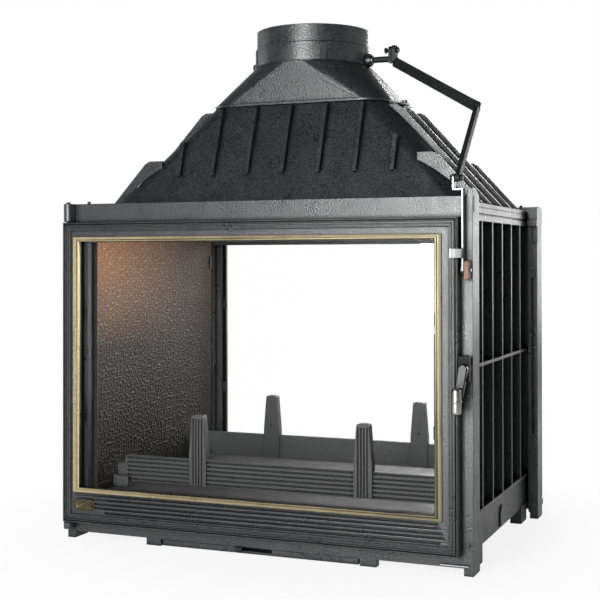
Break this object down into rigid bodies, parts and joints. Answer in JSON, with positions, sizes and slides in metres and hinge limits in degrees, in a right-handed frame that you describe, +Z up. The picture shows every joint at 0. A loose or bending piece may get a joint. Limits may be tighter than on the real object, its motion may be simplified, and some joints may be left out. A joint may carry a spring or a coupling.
{
  "type": "double-sided fireplace insert",
  "caption": "Cast-iron see-through fireplace insert with a glazed door on both long sides, a ribbed hood, a round flue collar and a lever-worked damper.",
  "frame": {"origin": "on the floor under the middle of the insert, midway between the two facade planes and under the flue's axis", "axes": "+Z up along the flue, -Y out of the front door, +X to the right of someone facing the front"},
  "size_m": [0.812, 0.6915, 0.991],
  "materials": {
    "cast_iron_paint": "matt heat-proof charcoal paint on cast iron",
    "hearth_iron": "bare grey cast iron, hammered on the liners",
    "brass": "polished",
    "glass": "clear ceramic glass",
    "sealing_rope": "graphite-coated glass-fibre rope",
    "zinc_steel": "zinc-plated, satin",
    "black_steel": "black, half gloss",
    "copper_brown": "copper-brown plated",
    "satin_grip": "satin nickel"
  },
  "bodies": {
    "body": {"base_plate": "hearth_iron", "smoke_baffle": "hearth_iron", "flue_transition": "cast_iron_paint", "damper_bushes": "zinc_steel", "transition_bolts": "zinc_steel", "guard_brackets": "hearth_iron", "rocker_bracket": "copper_brown", "rocker_pivot": "zinc_steel", "facade_screws": "zinc_steel", "hood_front": "cast_iron_paint", "hood_rear": "cast_iron_paint", "hood_right": "cast_iron_paint", "hood_left": "cast_iron_paint", "front_facade": "cast_iron_paint", "front_hinge_pins": "zinc_steel", "front_keeper": "zinc_steel", "front_air_bar": "cast_iron_paint", "rear_facade": "cast_iron_paint", "rear_hinge_pins": "zinc_steel", "rear_keeper": "zinc_steel", "rear_air_bar": "cast_iron_paint", "right_side_panel": "cast_iron_paint", "right_liner": "hearth_iron", "left_side_panel": "cast_iron_paint", "left_liner": "hearth_iron"},
    "front_door": {"front_door_frame": "cast_iron_paint", "front_door_glass": "glass", "front_glass_seal": "sealing_rope", "front_brass_trim": "brass", "front_glass_clips": "zinc_steel", "front_door_seal": "sealing_rope", "front_latch_housing": "black_steel"},
    "front_handle": {"front_handle_arm": "black_steel", "front_handle_grip": "satin_grip", "front_latch_tongue": "black_steel"},
    "front_slide": {"front_air_slide": "black_steel"},
    "front_guard": {"front_log_guard": "hearth_iron"},
    "rear_door": {"rear_door_frame": "cast_iron_paint", "rear_door_glass": "glass", "rear_glass_seal": "sealing_rope", "rear_brass_trim": "brass", "rear_glass_clips": "zinc_steel", "rear_door_seal": "sealing_rope", "rear_latch_housing": "black_steel"},
    "rear_handle": {"rear_handle_arm": "black_steel", "rear_handle_grip": "satin_grip", "rear_latch_tongue": "black_steel"},
    "rear_slide": {"rear_air_slide": "black_steel"},
    "rear_guard": {"rear_log_guard": "hearth_iron"},
    "damper": {"damper_shaft": "zinc_steel", "damper_plate": "hearth_iron", "damper_plate_bolts": "zinc_steel", "crank_bolt": "zinc_steel"},
    "rocker": {"damper_rocker": "zinc_steel", "rocker_link_bolt": "zinc_steel"},
    "strap": {"damper_strap": "black_steel"},
    "grate": {"hearth_grate": "hearth_iron"},
    "pan": {"ash_pan": "zinc_steel"}
  },
  "joints": [
    {"name": "front_door_hinge", "type": "hinge", "parent": "body", "child": "front_door", "pos_m": [-0.396, -0.284, 0.321], "axis": [0, 0, -1], "range_deg": [0, 100]},
    {"name": "rear_door_hinge", "type": "hinge", "parent": "body", "child": "rear_door", "pos_m": [0.396, 0.284, 0.321], "axis": [0, 0, -1], "range_deg": [0, 100]},
    {"name": "front_handle_turn", "type": "hinge", "parent": "front_door", "child": "front_handle", "pos_m": [0.385, -0.288, 0.352], "axis": [0, -1, 0], "range_deg": [0, 60]},
    {"name": "rear_handle_turn", "type": "hinge", "parent": "rear_door", "child": "rear_handle", "pos_m": [-0.385, 0.288, 0.352], "axis": [0, 1, 0], "range_deg": [0, 60]},
    {"name": "damper_turn", "type": "hinge", "parent": "body", "child": "damper", "pos_m": [0, 0, 0.93], "axis": [1, 0, 0], "range_deg": [0, 90]},
    {"name": "rocker_swing", "type": "hinge", "parent": "body", "child": "rocker", "pos_m": [0.38, -0.28, 0.517], "axis": [1, 0, 0], "range_deg": [0, 12]},
    {"name": "strap_swing", "type": "hinge", "parent": "rocker", "child": "strap", "pos_m": [0.369, -0.28, 0.673], "axis": [1, 0, 0], "range_deg": [-15, 0]},
    {"name": "front_air_slide", "type": "slide", "parent": "body", "child": "front_slide", "axis": [1, 0, 0], "range_m": [0, 0.054]},
    {"name": "rear_air_slide", "type": "slide", "parent": "body", "child": "rear_slide", "axis": [-1, 0, 0], "range_m": [0, 0.054]},
    {"name": "front_guard_lift", "type": "slide", "parent": "body", "child": "front_guard", "axis": [0, 0, 1], "range_m": [0, 0.15]},
    {"name": "rear_guard_lift", "type": "slide", "parent": "body", "child": "rear_guard", "axis": [0, 0, 1], "range_m": [0, 0.15]},
    {"name": "grate_lift", "type": "slide", "parent": "body", "child": "grate", "axis": [0, 0, 1], "range_m": [0, 0.2]},
    {"name": "ash_pan_lift", "type": "slide", "parent": "body", "child": "pan", "axis": [0, 0, 1], "range_m": [0, 0.15]}
  ],
  "couplings": [
    {"joint": "rocker_swing", "follows": "damper_turn", "ratio": 0.1266},
    {"joint": "strap_swing", "follows": "damper_turn", "ratio": -0.15365},
    {"joint": "ash_pan_lift", "follows": "grate_lift", "ratio": 0.75}
  ]
}
